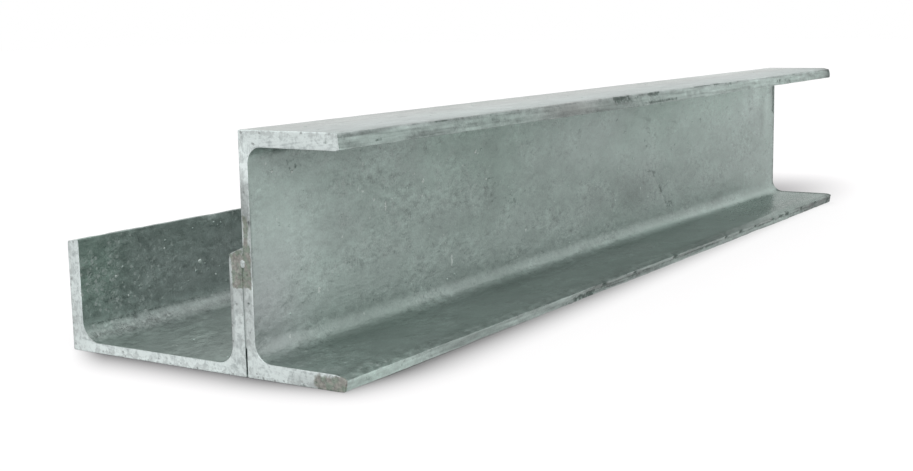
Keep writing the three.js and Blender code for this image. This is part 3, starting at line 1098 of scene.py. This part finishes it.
def make_weld(node):
    """A rippled bead in the corner between the lying channel's toe and the upright one's back."""
    low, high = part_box(node)
    at_near, at_far = low.y <= NEAR_END + MM, high.y >= FAR_END - MM
    start = low.y + (WELD_END_SETBACK if at_near else 0)
    stop = high.y - (WELD_END_SETBACK if at_far else 0)
    y = np.linspace(start, stop, round((stop - start) / WELD_STEP))
    toe_z = LYING_LOW.z + TOE_TIP - WELD_TOE_SINK
    across = np.linspace(-1, 1, WELD_POINTS)
    x = low.x + (BACK_X + WELD_BACK_SINK - low.x) * (across + 1) / 2
    face = toe_z + (high.z - toe_z) * (across + 1) / 2
    crown = WELD_CROWN * (1 - across ** 2)
    body_x = np.array((BACK_X + WELD_ROOT_SINK, LYING_HIGH.x, low.x + WELD_FOOT_INSET))
    body_z = toe_z - np.array((WELD_ROOT_DEPTH, WELD_ROOT_DEPTH, WELD_FOOT_DEPTH))
    rings = np.zeros((len(y), WELD_POINTS + len(body_x), 3))
    rings[:, :, 0] = np.concatenate((x, body_x))
    rings[:, :, 1] = y[:, None]
    rings[:, :, 2] = np.concatenate((face + crown, body_z))
    lead = RIPPLE_BOW * (1 - across ** 2)
    phase = ((y[:, None] - low.y + lead) / RIPPLE_PITCH) % 1
    scallop = RIPPLE_DEPTH * (1 - (2 * phase - 1) ** 2) * (1 - across ** 4)
    surface = rings[:, :WELD_POINTS].reshape(-1, 3)
    rough = layered(surface, WELD_LAYERS).reshape(len(y), WELD_POINTS)
    to_start = np.ones(len(y)) if at_near else unit((y - start) / CRATER)
    to_stop = np.ones(len(y)) if at_far else unit((stop - y) / CRATER)
    fade = np.sin(np.minimum(to_start, to_stop) * math.pi / 2)[:, None]
    fade = CRATER_LEVEL + (1 - CRATER_LEVEL) * fade
    sunk = toe_z - CRATER_FLOOR
    rings[:, :WELD_POINTS, 2] += scallop + rough - RIPPLE_DEPTH
    rings[:, :WELD_POINTS, 2] = sunk + (rings[:, :WELD_POINTS, 2] - sunk) * fade
    points = rings.reshape(-1, 3)
    to_end = points[:, 1] - start if at_near else stop - points[:, 1]
    sawn = (at_near or at_far) * unit(1.2 - to_end / WELD_END_STRIP)
    layers = blank_layers(len(points), end=sawn, tone=WELD_TONE, crust=WELD_CRUST)
    if at_near:
        first_ring = slice(WELD_POINTS + len(body_x))
        layers["rust"][first_ring] = np.where(np.arange(first_ring.stop) < WELD_POINTS, *WELD_END_RUST)
        layers["tone"][first_ring] = WELD_END_TONE
    piece = lofted(node + "_bead", rings, layers)
    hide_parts(node)


SEAM_FILL_LOW = 10.6 * MM
SEAM_FILL_DEPTH = 3 * MM
SEAM_FILL_PROUD = 0.45 * MM
SEAM_FILL_STEP = 0.6 * MM
SEAM_FILL_SHADE = -0.40
SEAM_FILL_TAPER = 2 * MM

# Across the seam: where the front's points lie, how far each stands back, and where the back's lie
SEAM_ACROSS = np.array((-1, -0.45, 0, 0.45, 1))
SEAM_FRONT = np.array((0.42, 0.3, 0.26, 0.3, 0.42)) * MM
SEAM_BACK = np.array((0.9, -0.9))
# How dark each point across the seam is painted: painted shade down the groove of the seam
SEAM_GROOVE_SHADE = np.array((0, 0.1, 0.75, 0.1, 0, 0, 0))


def make_seam_fill(name, end, outward):
    """The zinc that bridges the seam at an end of the post, from above the floor to the weld."""
    top = LYING_LOW.z + TOE_TIP - MM
    z = np.linspace(SEAM_FILL_LOW, top, round((top - SEAM_FILL_LOW) / SEAM_FILL_STEP))
    half = (UPRIGHT_LOW.x - LYING_HIGH.x) / 2 + SEAM_FILL_PROUD
    line = np.stack((0 * z, 0 * z + end, z), axis=-1)
    wander = bumps(line, 5, 31) * 0.15 * MM + bumps(line, 1.6, 32) * 0.08 * MM
    taper = np.clip((z - SEAM_FILL_LOW) / SEAM_FILL_TAPER, 0.05, 1)
    face, back = slice(len(SEAM_ACROSS)), slice(len(SEAM_ACROSS), None)
    rings = np.zeros((len(z), len(SEAM_GROOVE_SHADE), 3))
    rings[:, face, 0] = SEAM_X + half * SEAM_ACROSS * taper[:, None] + 0.4 * wander[:, None]
    rings[:, face, 1] = end - outward * (END_SETBACK + SEAM_FRONT + 0.6 * wander[:, None]
                                         + 0.8 * MM * (1 - taper[:, None]))
    rings[:, back, 0] = SEAM_X + half * SEAM_BACK * taper[:, None]
    rings[:, back, 1] = end - outward * SEAM_FILL_DEPTH
    rings[:, :, 2] = z[:, None]
    if outward < 0:
        rings = rings[:, ::-1]
    points = rings.reshape(-1, 3)
    # Painted shade: the fill is painted darker all over, and darker still down its groove
    stain = 0.15 + 0.2 * bumps(points, 4, 33) + np.tile(SEAM_GROOVE_SHADE, len(z))
    layers = blank_layers(len(points), end=1, tone=SEAM_FILL_SHADE, stain=stain)
    if outward < 0:
        layers["rust"] = 0.7 * box_weight(points, 20, 30, 36.4, 50, 1.8)
        layers["stain"] = np.maximum(layers["stain"], 1.2 * mark_weight(points, spot(25.2, -299, 44.3, 1.0)))
    piece = lofted(name, rings, layers, flip=True)


# ---- Pimples and beads ----

Pimple = namedtuple("Pimple", "x y z radius height axis")
DOME_SIDES = 10
DOME_RINGS = 5
FOOT_SHADE = 0.15

# In millimetres, but for the heights, which are shares of the radius
PIMPLE_SINK = 0.1
PIMPLE_HEIGHT = 0.55
PIMPLE_MARGIN = 2
SMALLEST_PIMPLE = 0.28
PIMPLE_SPREAD = 0.5
BEAD_SINK = 0.1
BEAD_HEIGHT = 0.6
DRIP_DEPTH = 0.42


def make_pimples(name, pimples, low, high, shine, end=0.0, tone=0.35):
    """Small beads of zinc half sunk in the surface, joined in one mesh. Sizes in millimetres."""
    around = np.arange(DOME_SIDES) * 2 * math.pi / DOME_SIDES
    rise = np.arange(1, DOME_RINGS) * math.pi / DOME_RINGS
    ball = [(0, 0, -1)] + [(math.sin(r) * math.cos(a), math.sin(r) * math.sin(a), -math.cos(r))
                           for r in rise for a in around] + [(0, 0, 1)]
    ball = np.array(ball)
    last = len(ball) - 1
    shape = [(0, 1 + (i + 1) % DOME_SIDES, 1 + i) for i in range(DOME_SIDES)]
    shape += ring_faces(DOME_RINGS - 1, DOME_SIDES, 1).tolist()
    first = last - DOME_SIDES
    shape += [(first + i, first + (i + 1) % DOME_SIDES, last) for i in range(DOME_SIDES)]
    points, faces, foot = [], [], []
    for pimple in pimples:
        size = np.full(3, pimple.radius)
        size[pimple.axis] = pimple.height
        start = len(points) * len(ball)
        points.append((ball * size + (pimple.x, pimple.y, pimple.z)) * MM)
        foot.append(1 - np.abs(ball[:, pimple.axis]))
        faces += [tuple(start + i for i in face) for face in shape]
    points = np.clip(np.concatenate(points), low, high)
    # Painted shade: each bead is darker towards its foot
    tone = tone - FOOT_SHADE * np.concatenate(foot)
    layers = blank_layers(len(points), tone=tone, shine=shine, end=end)
    piece = painted_mesh(name, points, faces, layers)


def random_pimples(rng, count, x_range, z_range, axis, outward):
    """Pimples scattered over a face, sunk a little into its relief. outward is 1 or -1 along axis."""
    y_range = (NEAR_END / MM + PIMPLE_MARGIN, FAR_END / MM - PIMPLE_MARGIN)
    made = []
    for _ in range(count):
        radius = SMALLEST_PIMPLE + PIMPLE_SPREAD * rng.random() ** 3
        place = np.array([rng.uniform(*extent) for extent in (x_range, y_range, z_range)])
        relief = layered(place[None, :] * MM, FACE_LAYERS)[0] / MM
        place[axis] += outward * (relief - PIMPLE_SINK)
        made.append(Pimple(*place, radius, radius * PIMPLE_HEIGHT, axis))
    return made


def placed_beads(x, *rows):
    """Larger beads on an upright face at x. Each row is y, z and the radius."""
    return [Pimple(x - BEAD_SINK, y, z, radius, radius * BEAD_HEIGHT, 0) for y, z, radius in rows]


# ---- Finishes ----

GREEN_ZINC = (0.280, 0.362, 0.326)
GREY_ZINC = (0.318, 0.352, 0.348)
WARM_ZINC = (0.385, 0.378, 0.372)
DARK_ZINC = (0.130, 0.165, 0.152)
# Bright zinc, on worn edges and as painted glint on flecks, beads and lips
BRIGHT_ZINC_AND_GLINT = (0.72, 0.78, 0.75)
OXIDE = (0.50, 0.56, 0.54)
STAIN_AND_SHADE = (0.046, 0.078, 0.065)
RUST_BROWN = (0.275, 0.262, 0.230)
RUST_OLIVE = (0.182, 0.230, 0.172)
# The sawn ends' white is partly painted light: far lighter than the rolled zinc, standing in for the light
# that falls on the ends
END_WHITE = (0.785, 0.865, 0.85)
END_GREY = (0.49, 0.55, 0.545)
END_RIM = (0.60, 0.65, 0.64)
END_DARK = (0.22, 0.235, 0.23)
GLOSS_TINT = (0.42, 0.47, 0.45)
FACE_METALLIC, END_METALLIC = 0.72, 0.35
FACE_ROUGHNESS, END_ROUGHNESS = (0.34, 0.50), (0.38, 0.55)
DULL_ROUGHNESS = 0.60
BUMP_HEIGHT = 0.22 * MM

# A noise value's usual range, and the range of paint over which noise comes to fray its border
NOISE_RANGE = (0.3, 0.7)
FRAY = (0.05, 0.3)


def rolled_face(g, place):
    """Dull zinc on the rolled faces: clouds and mottles, rugged where they gather, with dark specks,
    curly scars and white oxide. Gives the colour, the oxide, the relief and the mottle."""
    along = g.place((1, 0.5, 1))
    warped = g.warped(place, 900, 1.6 * MM)
    cloud = g.noise(along, 30, 2.0, 0.5)
    blotch = g.noise(along, 120, 3.0, 0.55, 0.8)
    mottle = g.noise(g.place((1, 0.55, 1)), 340, 3.0, 0.65)
    grain = g.noise(place, 1150, 2.0, 0.7)
    rugged = g.step(g.noise(along, 62, 3.0, 0.6, 0.6), 0.42, 0.62)
    crust = g.clamp(g.painted("crust"))
    smooth = g.clamp(g.painted("gloss"))
    ground = g.times(g.plus(g.remap(rugged, 0, 1, 0.45, 1.05), g.times(crust, 0.7)),
                     g.remap(smooth, 0, 1, 1, 0.5))
    fine = g.times(g.plus(g.swing(mottle, 1.30), g.swing(grain, 0.75)), ground)
    tone = g.plus(g.swing(cloud, 0.40), g.swing(blotch, 0.42), fine, g.painted("tone"))
    toe = g.painted("toe")
    streaks = g.noise(g.place((500, 26, 700)), 1.0, 3.0, 0.55)
    flakes = g.noise(g.place((420, 120, 420)), 1.0, 2.0, 0.5)
    tone = g.plus(tone, g.times(toe, g.swing(streaks, 1.8)), g.times(toe, g.swing(flakes, 0.8)))
    hue = g.plus(g.swing(g.noise(along, 34, 2.0, 0.5), 0.55), g.painted("hue"), 0.4)
    color = g.blend(g.clamp(hue), GREEN_ZINC, GREY_ZINC)
    color = g.blend(g.clamp(g.painted("warm")), color, WARM_ZINC)
    color = g.brighten(color, tone)

    rough_ground = g.clamp(g.plus(crust, g.times(rugged, 0.35)))
    ridge = g.math("ABSOLUTE", g.swing(g.noise(place, 340, 2.0, 0.5, 1.2), 1.0))
    curls = g.times(g.step(ridge, 0.060, 0.020), g.step(g.noise(place, 120, 2.0, 0.5), 0.48, 0.60))
    light = g.specks(warped, 3.0 * MM, 1.0 * MM, 0.40)
    oxide = g.clamp(g.times(g.plus(g.times(curls, 0.7), light), rough_ground))
    color = g.blend(g.times(oxide, 0.80), color, OXIDE)
    dents = g.step(g.noise(along, 260, 2.0, 0.5, 1.0), 0.40, 0.30)
    dark = g.plus(g.specks(warped, 3.4 * MM, 1.0 * MM, 0.35), dents)
    dark = g.times(dark, g.remap(rugged, 0, 1, 0.15, 0.8), g.remap(smooth, 0, 1, 1, 0.1))
    color = g.blend(g.times(g.clamp(dark), 0.45), color, DARK_ZINC)
    height = g.plus(g.times(blotch, 1.2), g.times(mottle, 0.9), g.times(grain, 0.3), g.times(oxide, 0.2),
                    g.times(toe, streaks, 0.9))
    return color, oxide, height, mottle


def sawn_face(g, place):
    """Bright zinc on the sawn ends, painted far lighter than the rolled faces, partly as painted light:
    white crust with fine lines along the section, and a duller rim on its outside."""
    across = g.painted("across")
    outline_place = g.node("CombineXYZ", {0: g.times(across, 1.4)}).outputs[0]
    streak_place = g.vector("ADD", g.place((170, 170, 170)), outline_place)
    streaks = g.noise(streak_place, 1.0, 3.0, 0.6)
    patch = g.noise(place, 300, 3.0, 0.55, 0.8)
    grain = g.noise(place, 1100, 3.0, 0.75)
    rim = g.painted("crust")
    tone = g.plus(g.swing(patch, 1.8), g.swing(grain, 0.45), g.swing(streaks, 0.8), g.times(rim, -0.06))
    color = g.blend(g.step(tone, -0.45, 0.15), END_GREY, END_WHITE)
    rough_rim = g.times(rim, g.step(g.plus(patch, g.swing(grain, 0.5)), 0.56, 0.44))
    color = g.blend(g.times(rough_rim, 0.85), color, END_RIM)
    color = g.brighten(color, g.painted("tone"))
    rim_pits = g.times(rim, g.specks(place, 1.9 * MM, 0.7 * MM, 0.18))
    pits = g.clamp(g.plus(g.specks(place, 3.0 * MM, 0.7 * MM, 0.22), rim_pits))
    color = g.blend(g.times(pits, 0.5), color, END_DARK)
    height = g.plus(g.times(patch, 1.2), g.times(grain, 0.7), g.times(streaks, 0.5), g.times(pits, -0.8))
    return color, height


def zinc_material():
    """The finish of every piece, steered by what is painted on its mesh."""
    material = bpy.data.materials.new("zinc_coating")
    g = Graph(material)
    place = g.place()
    breakup = g.noise(place, 650, 3.0, 0.7)
    ragged = g.swing(breakup, 1.4)
    ragged_wide = g.plus(g.swing(g.noise(place, 240, 4.0, 0.65), 2.0), g.times(ragged, 0.5))
    face_color, oxide, face_height, mottle = rolled_face(g, place)
    end_color, end_height = sawn_face(g, place)
    end = g.step(g.plus(g.painted("end"), g.times(ragged, 0.5)), 0.35, 0.65)
    color = g.blend(end, face_color, end_color)

    # Rolled edges painted brighter, partly as worn zinc and partly as painted highlight
    worn = g.plus(g.times(g.painted("edge"), 0.5), g.swing(breakup, 1.0))
    color = g.blend(g.times(g.step(worn, 0.35, 0.8), 0.2), color, BRIGHT_ZINC_AND_GLINT)
    # Painted glint: flecks, beads and lips painted bright, with less metal so that the colour shows
    bright_zinc_and_glint_paint = g.painted("shine")
    shine = g.step(g.plus(bright_zinc_and_glint_paint, g.times(ragged, g.step(bright_zinc_and_glint_paint, *FRAY))), 0.3, 0.75)
    color = g.blend(g.times(shine, 0.75), color, BRIGHT_ZINC_AND_GLINT)
    rust_paint = g.painted("rust")
    rust = g.step(g.plus(rust_paint, g.times(ragged_wide, g.step(rust_paint, *FRAY))), 0.25, 0.85)
    rust_color = g.blend(g.step(g.noise(place, 300, 2.0, 0.5), 0.40, 0.60), RUST_BROWN, RUST_OLIVE)
    rust_color = g.brighten(rust_color, g.swing(g.noise(place, 700, 3.0, 0.75), 2.4))
    color = g.blend(g.times(rust, 0.85), color, rust_color)
    # Dark stains, and painted shade kept in the same layer: down the seam's groove and just inside the ends
    stain_and_shade_paint = g.painted("stain")
    stain = g.step(g.plus(stain_and_shade_paint, g.times(ragged, 1.1, g.step(stain_and_shade_paint, *FRAY))), 0.25, 0.9)
    stain_and_shade_color = g.brighten(STAIN_AND_SHADE, g.swing(g.noise(place, 500, 3.0, 0.7), 1.8))
    color = g.blend(g.times(stain, 0.85), color, stain_and_shade_color)

    dull = g.clamp(g.plus(g.times(oxide, 0.7), g.times(shine, 0.6), g.times(rust, 0.7), g.times(stain, 0.5)))
    metallic = g.times(g.mix(end, FACE_METALLIC, END_METALLIC), g.remap(dull, 0, 1, 1, 0.25))
    face_roughness = g.remap(mottle, *NOISE_RANGE, *FACE_ROUGHNESS)
    face_roughness = g.plus(face_roughness, g.times(g.painted("gloss"), -0.20))
    roughness = g.mix(end, face_roughness, g.remap(breakup, *NOISE_RANGE, *END_ROUGHNESS))
    roughness = g.mix(dull, roughness, DULL_ROUGHNESS)
    normal = g.bump(g.mix(g.clamp(g.painted("end")), face_height, end_height), BUMP_HEIGHT)
    tint = g.blend(g.clamp(g.painted("gloss")), (1, 1, 1), GLOSS_TINT)
    g.finish(color, roughness, metallic, normal, tint)
    return material


# ---- Build ----

make_camera()
make_floor()
make_world()
make_key_light()
ZINC = zinc_material()

rng = random.Random(MARKS_SEED)
lying_left, lying_right = LYING_LOW.x / MM, LYING_HIGH.x / MM
upright_lines = ((TOE_X, 0.8), (TOE_X, 4.2), (TOE_X, 94.5), (TOE_X - 1.0, 99.4))
lying_lines = ((lying_left + 1, 49.2), (lying_left + 5.5, 49.8), (lying_right - 6, 49.8))
upright_all = upright_marks(rng) + random_marks(rng, upright_lines, 9)
lying_all = lying_marks(rng) + random_marks(rng, lying_lines, 12)

make_channel(UPRIGHT, upright_all, UPRIGHT_PATCHES, upright_end_paint)
make_channel(LYING, lying_all, LYING_PATCHES, lying_end_paint)

for weld_node in ("fillet_weld_front", "fillet_weld_middle", "fillet_weld_rear"):
    make_weld(weld_node)
make_seam_fill("seam_zinc_front", NEAR_END, -1)
make_seam_fill("seam_zinc_rear", FAR_END, 1)

upright_pimples = random_pimples(rng, 320, (WEB_X, WEB_X), (15, 86), 0, 1)
upright_pimples += random_pimples(rng, 40, (34, 68), (TOP_Z - OUTSIDE_DROP,) * 2, 2, 1)
upright_pimples += random_pimples(rng, 40, (BACK_X / MM + OUTSIDE_DROP,) * 2, (56, 98), 0, -1)
lying_pimples = random_pimples(rng, 220, (SIDE_X, SIDE_X), (14, 46), 0, 1)
lying_pimples += random_pimples(rng, 60, (-60, 9.5), (TROUGH_Z, TROUGH_Z), 2, 1)
lying_pimples += random_pimples(rng, 40, (lying_left + OUTSIDE_DROP,) * 2, (3, 46), 0, -1)
web_beads = placed_beads(
    WEB_X, (-285, 82.1, 0.8), (-272.7, 80.7, 0.8), (-216.5, 62.5, 0.8), (-208.1, 58.3, 0.9),
    (-184.3, 70.7, 0.7), (-177.8, 66.2, 0.8), (-130.7, 75.7, 0.9), (-202.7, 61.2, 0.6),
    (-120.6, 61.2, 0.6), (-257.1, 29.5, 0.6))
side_beads = placed_beads(
    SIDE_X, (-224.7, 28.1, 1.2), (-248, 38, 0.6), (-279, 30, 0.7), (-272, 20, 0.6), (-214, 20, 0.6))
drip = [Pimple(SEAM_X / MM + 0.1, NEAR_END / MM + DRIP_DEPTH, z, radius, DRIP_DEPTH, 1)
        for z, radius in ((47.0, 1.35), (46.1, 1.3))]
make_pimples("upright_channel_pimples", upright_pimples, UPRIGHT_LOW, UPRIGHT_HIGH, 0.25)
make_pimples("lying_channel_pimples", lying_pimples, LYING_LOW, LYING_HIGH, 0.25)
make_pimples("web_beads", web_beads, UPRIGHT_LOW, UPRIGHT_HIGH, 0.9)
make_pimples("side_beads", side_beads, LYING_LOW, LYING_HIGH, 0.7)
make_pimples("seam_drip", drip, LYING_LOW, UPRIGHT_HIGH, 0.0, 1.0, -0.20)

bpy.context.scene.view_settings.view_transform = "Standard"
